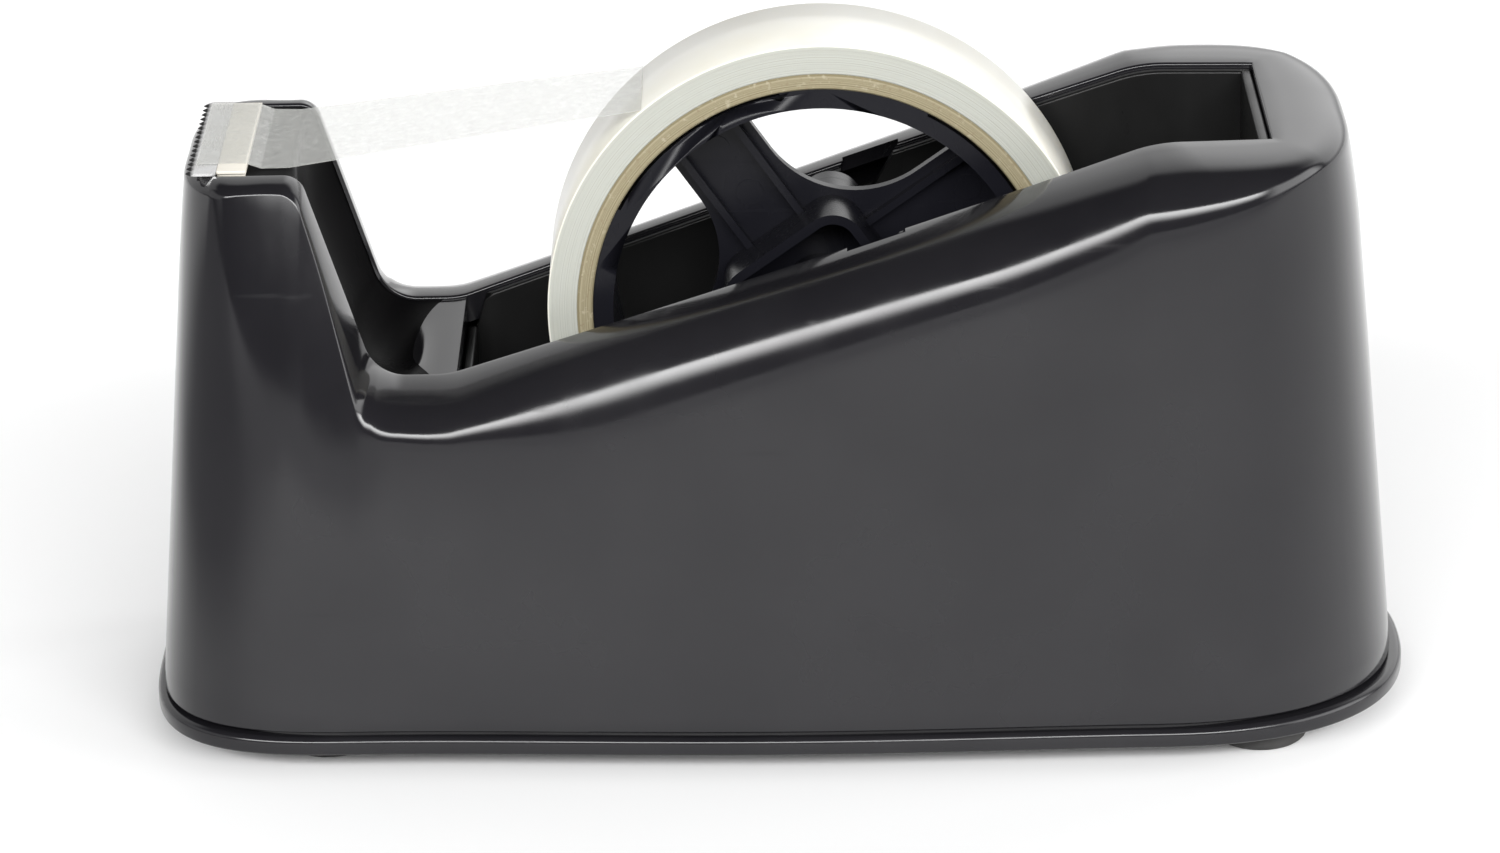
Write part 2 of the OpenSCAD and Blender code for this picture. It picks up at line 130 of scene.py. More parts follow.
FEET = {"foot_front_left": (-76, 24), "foot_front_right": (-76, -24),
        "foot_rear_left": (80, 27), "foot_rear_right": (80, -27)}

# Camera, fitted to the dimensioned view: place, turns in degrees and lens
CAMERA_AT = (-0.26, -978.1, 405.1)
CAMERA_YAW = -0.258
CAMERA_PITCH = 20.13
CAMERA_ROLL = -0.976
CAMERA_LENS = 147.6


# ---------- plain geometry ----------
def lerp(a, b, t):
    return a + (b - a) * t


def smooth(a, b, x):
    t = np.clip((x - a) / (b - a), 0, 1)
    return t * t * (3 - 2 * t)


def hashed(values, seed):
    """Repeatable noise from 0 to 1 for whole numbers."""
    return np.modf(np.abs(np.sin(np.asarray(values) * 12.9898 + seed * 78.233) * 43758.5453))[0]


def plan_points(plan, shares):
    """Points along one side of an outline: share 0 is the front tip, 1 to 2 the side, 3 the rear tip."""
    s = np.asarray(shares, float)
    fx, fl, fw, fp, rx, rl, rw, rp, bow = plan
    front = np.radians(90 * np.clip(s, 0, 1))
    rear = np.radians(90 * np.clip(s - 2, 0, 1))
    t = np.clip(s - 1, 0, 1)
    x = np.where(s < 1, fx + fl * (1 - np.cos(front) ** (2 / fp)),
                 np.where(s > 2, rx - rl * (1 - np.sin(rear) ** (2 / rp)), lerp(fx + fl, rx - rl, t)))
    side = lerp(fw, rw, t * t * (3 - 2 * t)) + bow * (4 * t * (1 - t)) ** 2
    y = np.where(s < 1, fw * np.sin(front) ** (2 / fp),
                 np.where(s > 2, rw * np.clip(np.cos(rear), 0, 1) ** (2 / rp), side))
    return np.stack([x, y], 1)


def fillet(a, b, c, r, steps):
    """Points of the arc of radius r that rounds corner b between a and c."""
    a, b, c = (np.array(p, float) for p in (a, b, c))
    u, v = (a - b) / np.linalg.norm(a - b), (c - b) / np.linalg.norm(c - b)
    half = math.acos(float(u @ v)) / 2
    centre = b + (u + v) / np.linalg.norm(u + v) * r / math.sin(half)
    start = b + u * r / math.tan(half) - centre
    stop = b + v * r / math.tan(half) - centre
    cross = start[0] * stop[1] - start[1] * stop[0]
    turn = math.copysign(math.acos(float(start @ stop) / r ** 2), cross)
    out = []
    for i in range(steps + 1):
        w = turn * i / steps
        out.append(centre + [start[0] * math.cos(w) - start[1] * math.sin(w),
                             start[0] * math.sin(w) + start[1] * math.cos(w)])
    return out


def rounded_path(corners, radii, steps):
    out = []
    for i, p in enumerate(corners):
        if radii[i] == 0:
            out.append(np.array(p, float))
        else:
            out += fillet(corners[i - 1], p, corners[i + 1], radii[i], steps)
    return out


def fine_path(points, step):
    out = [points[0]]
    for a, b in zip(points, points[1:]):
        n = max(math.ceil(np.linalg.norm(b - a) / step), 1)
        out += [lerp(a, b, j / n) for j in range(1, n + 1)]
    return np.array(out)


def open_half(x):
    """Half-width of the opening in the top at x."""
    t = np.clip((np.asarray(x, float) - WELL_FRONT_X) / (WELL_REAR_X - WELL_FRONT_X), 0, 1)
    return lerp(WELL_FRONT_H, WELL_REAR_H, t) + 2.6 * np.sin(np.pi * t)


# ---------- solids as (points, faces) ----------
def grid_faces(rows, cols, close_rows, close_cols, start=0):
    faces = []
    for i in range(rows if close_rows else rows - 1):
        for j in range(cols if close_cols else cols - 1):
            k, m = (i + 1) % rows, (j + 1) % cols
            corners = (i * cols + j, k * cols + j, k * cols + m, i * cols + m)
            faces.append(tuple(start + c for c in corners))
    return faces


def stack(rings):
    """Closed solid through rings of equal length, with a flat face on the first and the last."""
    rings = np.array(rings, float)
    rows, cols = rings.shape[:2]
    faces = grid_faces(rows, cols, False, True)
    faces.append(tuple(range(cols)))
    faces.append(tuple((rows - 1) * cols + j for j in range(cols))[::-1])
    return rings.reshape(-1, 3), faces


def loop_loft(rings):
    """Ring-shaped solid: closed sections placed round a closed loop."""
    rings = np.array(rings, float)
    rows, cols = rings.shape[:2]
    return rings.reshape(-1, 3), grid_faces(rows, cols, True, True)


def prism_y(outline, y0, y1):
    """Prism along Y from points in X and Z."""
    return stack([[(x, y, z) for x, z in outline] for y in (y0, y1)])


def prism_z(outline, z0, z1):
    return stack([[(x, y, z) for x, y in outline] for z in (z0, z1)])


def box_solid(low, high):
    (x0, y0, z0), (x1, y1, z1) = low, high
    return prism_z([(x0, y0), (x1, y0), (x1, y1), (x0, y1)], z0, z1)


def circle(x, y, r, steps=64, start=0.0):
    angles = [start + 2 * math.pi * i / steps for i in range(steps)]
    return [(x + r * math.cos(a), y + r * math.sin(a)) for a in angles]


def turned_z(x, y, profile, steps=64):
    """Solid of revolution about a vertical axis, from (radius, z) points that start and end off the axis."""
    return stack([[(px, py, z) for px, py in circle(x, y, r, steps)] for r, z in profile])


def turned_reel(profile, steps=256, ring=False):
    """Solid of revolution about the reel's axis, from (radius, y) points; a ring's profile is a loop."""
    rings = [[(px, y, pz) for px, pz in circle(REEL_X, REEL_Z, r, steps)] for r, y in profile]
    return loop_loft(rings) if ring else stack(rings)


def joined(*solids):
    points, faces, start = [], [], 0
    for p, f in solids:
        points.append(np.asarray(p, float))
        faces += [tuple(i + start for i in face) for face in f]
        start += len(p)
    return np.vstack(points), faces


def mirrored(solid):
    """The solid's mirror image about the middle plane."""
    points = np.array(solid[0], float) * [1, -1, 1]
    return points, [tuple(reversed(f)) for f in solid[1]]


def both_sides(*solids):
    return joined(*solids, *[mirrored(s) for s in solids])


# ---------- Blender objects ----------
def make(name, solid):
    mesh = bpy.data.meshes.new(name)
    mesh.from_pydata((np.asarray(solid[0]) * MM).tolist(), [], solid[1])
    mesh.update()
    obj = bpy.data.objects.new(name, mesh)
    bpy.context.scene.collection.objects.link(obj)
    work = bmesh.new()
    work.from_mesh(mesh)
    bmesh.ops.remove_doubles(work, verts=work.verts, dist=1e-7)
    bmesh.ops.recalc_face_normals(work, faces=work.faces)
    work.to_mesh(mesh)
    work.free()
    return obj


def copy_of(node, name):
    """A new object with a CAD node's shape, its flat faces whole again."""
    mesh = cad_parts[node].data.copy()
    mesh.materials.clear()
    obj = bpy.data.objects.new(name, mesh)
    bpy.context.scene.collection.objects.link(obj)
    work = bmesh.new()
    work.from_mesh(mesh)
    bmesh.ops.remove_doubles(work, verts=work.verts, dist=2e-6)
    bmesh.ops.dissolve_limit(work, angle_limit=math.radians(0.5), verts=work.verts, edges=work.edges)
    bmesh.ops.recalc_face_normals(work, faces=work.faces)
    work.to_mesh(mesh)
    work.free()
    for stale in [a.name for a in mesh.attributes if a.name.startswith("custom_normal")]:
        mesh.attributes.remove(mesh.attributes[stale])
    return obj


def applied(obj):
    """Turns the object's modifiers into its mesh."""
    view = bpy.context.evaluated_depsgraph_get()
    mesh = bpy.data.meshes.new_from_object(obj.evaluated_get(view))
    obj.modifiers.clear()
    old = obj.data
    obj.data = mesh
    bpy.data.meshes.remove(old)
    return obj


def combined(obj, solid, operation):
    """UNION, DIFFERENCE or INTERSECT of the object with a solid, or with another object that it uses up."""
    other = solid if isinstance(solid, bpy.types.Object) else make("cutter", solid)
    step = obj.modifiers.new("combine", "BOOLEAN")
    step.operation = operation
    step.solver = "EXACT"
    step.object = other
    applied(obj)
    bpy.data.objects.remove(other)
    return obj


def softened(obj, width, segments=3, angle=35):
    """Rounds the object's sharp edges."""
    step = obj.modifiers.new("soften", "BEVEL")
    step.width = width * MM
    step.segments = segments
    step.limit_method = "ANGLE"
    step.angle_limit = math.radians(angle)
    step.miter_outer = "MITER_ARC"
    return applied(obj)


def shaded(obj, angle=32):
    mesh = obj.data
    mesh.polygons.foreach_set("use_smooth", [True] * len(mesh.polygons))
    mesh.set_sharp_from_angle(angle=math.radians(angle))
    return obj


def piece(obj, material, body, slot, *nodes, angle=32):
    """Finishes one visible piece: shading, material, the body it rides on and the CAD nodes it stands for."""
    shaded(obj, angle)
    obj.data.materials.clear()
    obj.data.materials.append(material)
    if body:
        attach(obj, body)
    if nodes:
        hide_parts(*nodes)
    return obj


# ---------- materials ----------
class Look:
    """A material being built: one Principled shader and the nodes that feed it."""

    def __init__(self, name, **sockets):
        self.material = bpy.data.materials.new(name)
        self.material.use_nodes = True
        self.tree = self.material.node_tree
        self.shader = self.tree.nodes["Principled BSDF"]
        for key, value in sockets.items():
            self.shader.inputs[key.replace("_", " ")].default_value = value
        self.place = self.add("ShaderNodeTexCoord").outputs["Object"]

    def add(self, kind, inputs=None, **settings):
        node = self.tree.nodes.new(kind)
        for key, value in settings.items():
            setattr(node, key, value)
        for key, value in (inputs or {}).items():
            if isinstance(value, bpy.types.NodeSocket):
                self.tree.links.new(value, node.inputs[key])
            else:
                node.inputs[key].default_value = value
        return node

    def link(self, source, socket):
        self.tree.links.new(source, self.shader.inputs[socket])

    def stretched(self, x, y, z):
        """Object coordinates, scaled along each axis."""
        node = self.add("ShaderNodeMapping", {"Vector": self.place})
        node.inputs["Scale"].default_value = (x, y, z)
        return node.outputs["Vector"]

    def noise(self, per_metre, detail=3.0, roughness=0.55, where=None):
        node = self.add("ShaderNodeTexNoise", {"Vector": where or self.place, "Scale": per_metre,
                                               "Detail": detail, "Roughness": roughness})
        return node.outputs["Fac"]

    def remap(self, value, low, high, out_low, out_high):
        node = self.add("ShaderNodeMapRange", {"Value": value, "From Min": low, "From Max": high,
                                               "To Min": out_low, "To Max": out_high})
        return node.outputs["Result"]

    def math(self, operation, a, b=0.0):
        return self.add("ShaderNodeMath", {0: a, 1: b}, operation=operation).outputs[0]

    def blend(self, fac, a, b):
        node = self.add("ShaderNodeMix", data_type="RGBA")
        for socket, value in ((0, fac), (6, a), (7, b)):
            if isinstance(value, bpy.types.NodeSocket):
                self.tree.links.new(value, node.inputs[socket])
            else:
                node.inputs[socket].default_value = value
        return node.outputs[2]

    def bump(self, height, distance_mm, strength=1.0, normal=None):
        inputs = {"Height": height, "Distance": distance_mm * MM, "Strength": strength}
        if normal is not None:
            inputs["Normal"] = normal
        return self.add("ShaderNodeBump", inputs).outputs["Normal"]

    def radius(self):
        """Distance from the reel's axis, in millimetres."""
        offset = self.add("ShaderNodeVectorMath", {0: self.place, 1: (REEL_X * MM, 0, REEL_Z * MM)},
                          operation="SUBTRACT").outputs[0]
        flat = self.add("ShaderNodeVectorMath", {0: offset, 1: (1, 0, 1)}, operation="MULTIPLY").outputs[0]
        length = self.add("ShaderNodeVectorMath", {0: flat}, operation="LENGTH").outputs["Value"]
        return self.math("MULTIPLY", length, 1000.0)


def grey(v, warm=0.0):
    return (v * (1 + warm), v, v * (1 - warm), 1)


def moulded_plastic(name, dark, light, rough, grain_mm=0.25, grain=0.012, specular=0.5, ior=1.5):
    """Injection-moulded plastic: fine surface grain, and handling marks and faint scratches in the gloss."""
    look = Look(name, Roughness=rough, Specular_IOR_Level=specular, IOR=ior)
    cloud = look.noise(28, 4)
    colour = look.blend(look.remap(cloud, 0.35, 0.65, 0, 1), dark, light)
    look.link(colour, "Base Color")
    smears = look.noise(60, 5, 0.6, look.stretched(1, 1, 0.35))
    scratches = look.noise(420, 2, 0.5, look.stretched(0.05, 1, 1))
    gloss = look.math("ADD", look.remap(smears, 0.3, 0.7, rough - 0.05, rough + 0.07),
                      look.remap(scratches, 0.68, 0.76, 0, 0.08))
    look.link(gloss, "Roughness")
    fine = look.noise(1000 / grain_mm, 2)
    wavy = look.noise(45, 1)
    soft = look.bump(wavy, 0.03, 0.2)
    look.link(look.bump(fine, grain, 0.6, soft), "Normal")
    return look.material


def rubber(name):
    look = Look(name, Roughness=0.82, Specular_IOR_Level=0.35)
    look.link(look.blend(look.noise(90, 4), grey(0.02), grey(0.045, 0.03)), "Base Color")
    look.link(look.remap(look.noise(200, 3), 0.3, 0.7, 0.72, 0.92), "Roughness")
    look.link(look.bump(look.noise(1800, 2), 0.03, 0.7), "Normal")
    return look.material


def steel(name, tone, rough, brush=(1, 1, 1), tint=0.0, edge_x=None):
    """Brushed steel with faint stains; edge_x is where along X it turns dark and where it is bright."""
    look = Look(name, Metallic=1.0, Roughness=rough)
    lines = look.noise(2600, 2, 0.5, look.stretched(*brush))
    stain = look.noise(140, 4)
    base = look.blend(look.remap(stain, 0.4, 0.7, 0, 1), grey(tone, tint), grey(tone * 0.82, tint + 0.02))
    if edge_x is not None:
        along = look.add("ShaderNodeSeparateXYZ", {"Vector": look.place}).outputs["X"]
        base = look.blend(look.remap(along, edge_x[0] * MM, edge_x[1] * MM, 1, 0), base, grey(0.02))
    look.link(base, "Base Color")
    look.link(look.math("ADD", look.remap(lines, 0.3, 0.7, rough - 0.06, rough + 0.08),
                        look.remap(stain, 0.45, 0.7, 0, 0.1)), "Roughness")
    look.link(look.bump(lines, 0.004, 0.5), "Normal")
    return look.material


def cast_iron(name):
    look = Look(name, Metallic=0.7, Roughness=0.7)
    rust = look.remap(look.noise(120, 6, 0.65), 0.56, 0.72, 0, 0.8)
    look.link(look.blend(rust, grey(0.10), (0.16, 0.07, 0.03, 1)), "Base Color")
    look.link(look.remap(look.noise(300, 4), 0.3, 0.7, 0.55, 0.9), "Roughness")
    look.link(look.bump(look.noise(900, 5, 0.6), 0.25, 0.6), "Normal")
    return look.material


def cardboard(name):
    """Wound core board: layers round the axis, fibres and flecks."""
    look = Look(name, Roughness=0.85, Specular_IOR_Level=0.25)
    radius = look.radius()
    layers = look.add("ShaderNodeTexNoise", {"W": look.math("MULTIPLY", radius, 3.0), "Scale": 1.0,
                                             "Detail": 2.0}, noise_dimensions="1D").outputs["Fac"]
    fleck = look.remap(look.noise(1500, 2), 0.60, 0.68, 0, 0.75)
    pale = look.remap(look.noise(900, 3), 0.60, 0.72, 0, 0.6)
    base = look.blend(look.remap(layers, 0.38, 0.62, 0, 1), (0.17, 0.146, 0.086, 1), (0.27, 0.237, 0.155, 1))
    base = look.blend(pale, base, (0.38, 0.35, 0.26, 1))
    base = look.blend(fleck, base, (0.20, 0.16, 0.10, 1))
    look.link(base, "Base Color")
    look.link(look.remap(look.noise(400, 3), 0.3, 0.7, 0.78, 0.95), "Roughness")
    rough = look.bump(look.noise(2200, 3), 0.05, 0.6)
    look.link(look.bump(layers, 0.12, 0.6, rough), "Normal")
    return look.material


def wound_film(name):
    """The wound roll: cream film, with the edges of its layers as fine rings on the sides."""
    look = Look(name, Roughness=0.3, Coat_Weight=0.25, Coat_Roughness=0.15, Subsurface_Weight=0.25,
                Subsurface_Radius=(0.004, 0.0036, 0.003), Subsurface_Scale=0.6)
    radius = look.radius()
    rings = look.add("ShaderNodeTexNoise", {"W": look.math("MULTIPLY", radius, 6.0), "Scale": 1.0,
                                            "Detail": 4.0, "Roughness": 0.7},
                     noise_dimensions="1D").outputs["Fac"]
    cloud = look.noise(35, 3)
    face = look.blend(look.remap(rings, 0.3, 0.7, 0, 1), (0.32, 0.328, 0.29, 1), (0.39, 0.395, 0.36, 1))
    outer = look.blend(look.remap(cloud, 0.35, 0.65, 0, 1), (0.76, 0.75, 0.69, 1), (0.70, 0.68, 0.59, 1))
    rim = look.remap(radius, TAPE_R - 0.35, TAPE_R - 0.1, 0, 1)
    look.link(look.blend(rim, face, outer), "Base Color")
    look.link(look.remap(rings, 0.3, 0.7, 0.24, 0.42), "Roughness")
    waves = look.noise(160, 2, 0.5, look.stretched(1, 0.15, 1))
    soft = look.bump(waves, 0.05, 0.4)
    look.link(look.bump(rings, 0.05, 0.6, soft), "Normal")
    return look.material


def clear_film(name):
    """One layer of clear tape: mostly see-through, with a dry, milky adhesive side."""
    look = Look(name, Roughness=0.16, Alpha=0.3)
    look.link(look.blend(look.noise(80, 3), (0.60, 0.61, 0.58, 1), (0.68, 0.68, 0.65, 1)), "Base Color")
    look.link(look.remap(look.noise(260, 3), 0.3, 0.7, 0.10, 0.24), "Roughness")
    look.link(look.bump(look.noise(130, 2, 0.5, look.stretched(1, 0.3, 1)), 0.06, 0.3), "Normal")
    look.link(look.remap(look.noise(700, 3), 0.3, 0.7, 0.26, 0.36), "Alpha")
    return look.material


dark_violet, light_violet = (0.0085, 0.0082, 0.0098, 1), (0.012, 0.0116, 0.0133, 1)
black_housing = moulded_plastic("housing_black", dark_violet, light_violet, 0.11, 0.22, 0.003, specular=0.42)
# painted shade: a darker, barely reflecting black for the tower's deck and scooped back, in place of the
# shade that falls there
deck_painted_shade = moulded_plastic("deck_painted_shade_black", (0.0025, 0.0024, 0.0026, 1), (0.004, 0.0038, 0.0042, 1),
                             0.3, 0.3, 0.02, specular=0.3, ior=1.06)
black_well = moulded_plastic("well_black", grey(0.005), grey(0.008), 0.3, 0.3, 0.01, specular=0.35, ior=1.35)
black_base = moulded_plastic("base_black", dark_violet, light_violet, 0.16, 0.25, 0.005, specular=0.38)
black_hub = moulded_plastic("hub_black", (0.0045, 0.0045, 0.0065, 1), (0.007, 0.007, 0.0095, 1),
                            0.26, 0.25, 0.01, specular=0.18)
black_cap = moulded_plastic("cap_black", grey(0.014), grey(0.02), 0.36, 0.2, 0.012)
ivory = moulded_plastic("carrier_ivory", (0.64, 0.605, 0.53, 1), (0.70, 0.67, 0.60, 1), 0.4, 0.2, 0.01)
blade_steel = steel("blade_steel", 0.72, 0.2, (1, 0.04, 1), 0.0, (blade_low[0] + 0.8, blade_low[0] + 1.5))
pin_steel = steel("pin_steel", 0.62, 0.25, (1, 0.05, 1))
screw_zinc = steel("screw_zinc", 0.66, 0.3, (1, 1, 0.1), 0.02)
iron = cast_iron("ballast_iron")
foot_rubber = rubber("foot_rubber")
board = cardboard("core_board")
film_roll = wound_film("film_roll")
film_strip = clear_film("film_strip")


# ---------- housing ----------
rim_path = fine_path(rounded_path(RIM_CORNERS, RIM_RADII, 14), 1.6)


def side_share(x):
    """Place on the plan outline that faces the rim's inner edge at x."""
    start, stop = SIDE_X
    along = np.clip(1 - (np.minimum(x, start) - TOP_PLAN[0]) / TOP_PLAN[1], 0, 1)
    front = np.degrees(np.arccos(along ** (TOP_PLAN[3] / 2))) / 90
    middle = lerp(1, 2, (x - start) / (stop - start))
    rear = lerp(2, REAR_SHARE, (x - stop) / (WELL_REAR_X - stop))
    return np.where(x < start, front, np.where(x < stop, middle, rear))


def crown_height(x):
    """Height of the rim's rounded crown: low round the tower, tall beside the reel, low at the rear."""
    tower = lerp(2.5, 1.7, smooth(OPEN_FRONT_X, -86.5, x))
    slope = 3.3 * smooth(-75, -64, x) + 2 * smooth(-70, -56, x)
    return tower + slope + 7.7 * smooth(-58, -25, x) - 11 * smooth(52, 84, x)


def crown_power(x):
    """Power of the crown's superellipse: the higher, the flatter the rim."""
    return 2.2 + 0.5 * smooth(-62, -30, x) + 0.8 * smooth(35, 65, x) + 0.7 * smooth(62, 78, x)


def tower_share(x, y):
    """1 where the wall stands beside the tower's top, 0 at the middle of the front and along the dip."""
    corner = smooth(0.2, 1, y / WELL_FRONT_H)
    return (0.25 * corner + 0.75 * smooth(OPEN_FRONT_X, -81, x)) * (1 - smooth(-78, -62, x))


def side_stations():
    """Rows of inner x and y, rim z, outline share, crown height, stretch and crown power along one side.

    The stretch makes a section taller where the rim climbs, eased over its neighbours.
    """
    ends, steepest, ease = 18, 0.55, 5
    t = np.arange(ends) / ends
    one = np.ones(ends)
    front = np.stack([OPEN_FRONT_X * one, WELL_FRONT_H * t, TOWER_Z * one, FRONT_SHARE * t,
                      crown_height(OPEN_FRONT_X) * one, one, crown_power(OPEN_FRONT_X) * one], 1)
    x, z = rim_path[:, 0], rim_path[:, 1]
    ahead = np.vstack([rim_path[1:], rim_path[-1:]])
    back = np.vstack([rim_path[:1], rim_path[:-1]])
    run = ahead - back
    level = run[:, 0] / np.linalg.norm(run, axis=1)
    stretch = 1 / np.maximum(level, steepest)
    span = 2 * ease + 1
    for _ in range(2):
        stretch = np.convolve(np.pad(stretch, ease, "edge"), np.ones(span) / span, "valid")
    along = np.stack([x, open_half(x), z, side_share(x), crown_height(x), stretch, crown_power(x)], 1)
    u = np.arange(1, ends + 1) / ends
    rear = np.stack([WELL_REAR_X * one, WELL_REAR_H * (1 - u), RIM_Z * one, lerp(REAR_SHARE, 3, u),
                     crown_height(WELL_REAR_X) * one, one, crown_power(WELL_REAR_X) * one], 1)
    return np.vstack([front, along, rear])


def wall_sections(stations):
    """Closed wall section at each station, from the outer foot over the rim and back down inside."""
    edge, z, stretch = stations[:, :2], stations[:, 2], stations[:, 5]
    rise, bend = stations[:, 4] * stretch, 2 / stations[:, 6]
    foot, head = plan_points(BASE_PLAN, stations[:, 3]), plan_points(TOP_PLAN, stations[:, 3])
    lean = (head - foot) / (RIM_Z - BODY_Z)
    inward = edge - (foot + lean * (z - BODY_Z)[:, None])
    room = np.linalg.norm(inward, axis=1)
    inward = inward / room[:, None]
    skin = WALL * stretch
    tower = tower_share(stations[:, 0], stations[:, 1])
    # how far, and over what height, the upper wall curves in
    barrel = 0.5 + 5.2 * tower + 0.7 * smooth(20, 68, stations[:, 0])
    barrel_h = rise + 16 + 32 * tower
    gap = room - barrel
    lip_t = np.clip(gap - WALL - 0.3, 0.3, LIP_T)
    rows = []

    def on_wall(height, inset):
        height = height + np.zeros(len(z))
        inset = inset + barrel * np.clip(1 - (z - height) / barrel_h, 0, 1) ** 2
        flat = foot + lean * (height - BODY_Z)[:, None] + inward * inset[:, None]
        rows.append(np.column_stack([flat, height]))
        return flat

    def from_edge(height, outset):
        flat = edge - inward * (outset + np.zeros(len(z)))[:, None]
        rows.append(np.column_stack([flat, height + np.zeros(len(z))]))

    for a in np.radians(np.linspace(0, 90, 4)):
        on_wall(BODY_Z + FOOT_R * (1 - math.cos(a)), FOOT_R * (1 - math.sin(a)))
    for share in np.linspace(0.04, 0.97, 32):
        on_wall(lerp(BODY_Z + FOOT_R, z - rise, share), 0)
    for a in np.radians(np.linspace(0, 90, 33)):
        height = z - rise * (1 - math.sin(a) ** bend)
        wall = on_wall(height, 0)
        share = (1 - max(math.cos(a), 0) ** bend)[:, None]
        rows[-1][:, :2] += (edge - inward * EDGE_R - wall) * share
    for a in np.radians(np.linspace(18, 90, 5)):
        from_edge(z - EDGE_R * (1 - math.cos(a)), EDGE_R * (1 - math.sin(a)))
    from_edge(z - LIP * stretch, 0.0)
    from_edge(z - LIP * stretch, lip_t)
    from_edge(z - skin, lip_t)
    within = gap - WALL - lip_t
    for a in np.radians(np.linspace(80, 0, 9)):
        height = z - skin - rise * (1 - math.sin(a) ** bend)
        on_wall(height, WALL + within * (1 - math.cos(a) ** bend))
    on_wall(BODY_Z, WALL)
    return np.stack(rows, 1)


def wall_ring():
    side = wall_sections(side_stations())
    other = side[1:-1][::-1] * [1, -1, 1]
    return loop_loft(np.vstack([side, other]))


def tower_web():
    """The tower's top, its dished back and the bridge in front of the reel opening."""
    step, bite, dish, cols = 0.6, 1.0, 4.5, 48
    path = np.array([p for p in rim_path if p[0] < WELL_FRONT_X])
    line = np.vstack([[OPEN_FRONT_X - bite, TOWER_Z], path[1:],
                      [WELL_FRONT_X, lerp(DIP_Z, RIM_Z, 0.0103)]])
    ahead = np.vstack([line[1:], line[-1:]])
    back = np.vstack([line[:1], line[:-1]])
    run = (ahead - back) / np.linalg.norm(ahead - back, axis=1)[:, None]
    normal = np.column_stack([-run[:, 1], run[:, 0]])
    depth = dish * smooth(-80, -73, line[:, 0]) * (1 - smooth(-66, -57, line[:, 0]))
    y = (WELL_FRONT_H + bite) * np.linspace(-1, 1, cols)
    bowl = 1 - np.minimum(np.abs(y) / WELL_FRONT_H, 1) ** 2
    sections = []
    for p, n, d in zip(line, normal, depth):
        top = [(*(p - n * (d * b + step)), v) for b, v in zip(bowl, y)]
        under = [(*(p - n * (d * b + step + WALL)), v) for b, v in zip(bowl, y)]
        sections.append([(min(x, WELL_FRONT_X), v, z) for x, z, v in top + under[::-1]])
    lip = box_solid((WELL_FRONT_X - WALL, -WELL_FRONT_H - 0.5, DIP_Z - LIP),
                    (WELL_FRONT_X, WELL_FRONT_H + 0.5, DIP_Z - 0.62))
    return stack(sections), lip


def painted_shade_outline(margin):
    """Plan outline of the tower's deck and scooped back, painted dark as shade, up to the crescent where the
    painted shade ends and the bridge begins.
    """
    front_x, half, middle_x, sweep = -110, 22, -61.2, 4.2
    y = np.linspace(-half, half, 45)
    crescent = [(middle_x + margin + sweep * (v / WELL_FRONT_H) ** 2, v) for v in y]
    return [(front_x, half), (front_x, -half)] + crescent


def screw_hole(x, y, top):
    return turned_z(x, y, [(SCREW_HOLE_R, BODY_Z - 1), (SCREW_HOLE_R, top)], 32)


def slot_outline(width, length):
    """Slanted slot, round at the seat: points in X and Z."""
    tilt = math.radians(SLOT_TILT)
    out = []
    for i in range(25):
        a = math.pi + math.pi * i / 24
        out.append((width / 2 * math.cos(a), width / 2 * math.sin(a)))
    out += [(width / 2, length), (-width / 2, length)]
    along, up = (math.cos(tilt), -math.sin(tilt)), (math.sin(tilt), math.cos(tilt))
    return [(REEL_X + u * along[0] + v * up[0], REEL_Z + u * along[1] + v * up[1]) for u, v in out]


def housing():
    """The shell with its bridge, and the tower's deck as a piece of its own in a darker, duller black that is
    painted shade on the deck and its scooped back.
    """
    obj = make("housing_shell", wall_ring())
    web, lip = tower_web()
    above, lap = 150, 0.02
    # painted shade: the deck is cut off at the crescent and gets the darker black
    deck = make("tower_deck_painted_shade", web)
    combined(deck, prism_z(painted_shade_outline(0), 0, above), "INTERSECT")
    bridge = make("bridge", web)
    combined(bridge, prism_z(painted_shade_outline(-lap), 0, above), "DIFFERENCE")
    combined(obj, bridge, "UNION")
    combined(obj, lip, "UNION")
    bosses = []
    for x, y in BOSSES:
        bosses.append(turned_z(x, y, [(4, BODY_Z), (3.7, BODY_Z + 13)], 40))
        bosses.append(box_solid((min(x, -102) if x < 0 else x, y - 1, BODY_Z + 0.1),
                                (x if x < 0 else 99, y + 1, BODY_Z + 12.5)))
    for boss in bosses:
        combined(obj, both_sides(boss), "UNION")
    reach = float(open_half(REEL_X)) + SLOT_DEEP
    slots = both_sides(prism_y(slot_outline(SLOT_W + 0.4, 40), SLOT_Y, reach))
    combined(obj, slots, "DIFFERENCE")
    pockets = joined(*[box_solid((OPEN_FRONT_X + 0.3, y - 4.2, TOWER_Z - 7),
                                 (OPEN_FRONT_X + 2.7, y + 4.2, TOWER_Z + 5)) for y in (-POCKET_Y, POCKET_Y)])
    combined(obj, pockets, "DIFFERENCE")
    combined(deck, pockets, "DIFFERENCE")
    piece(deck, deck_painted_shade, "body", "housing_plastic", "body_shell")
    holes = both_sides(*[screw_hole(x, y, BODY_Z + 10) for x, y in BOSSES])
    combined(obj, holes, "DIFFERENCE")
    return piece(obj, black_housing, "body", "housing_plastic", "body_shell")


# ---------- reel well ----------
def rim_height(x):
    """Height of the rim at x, from the dip to the rear."""
    ramp = rim_path[rim_path[:, 0] > -60]
    return np.interp(x, ramp[:, 0], ramp[:, 1])


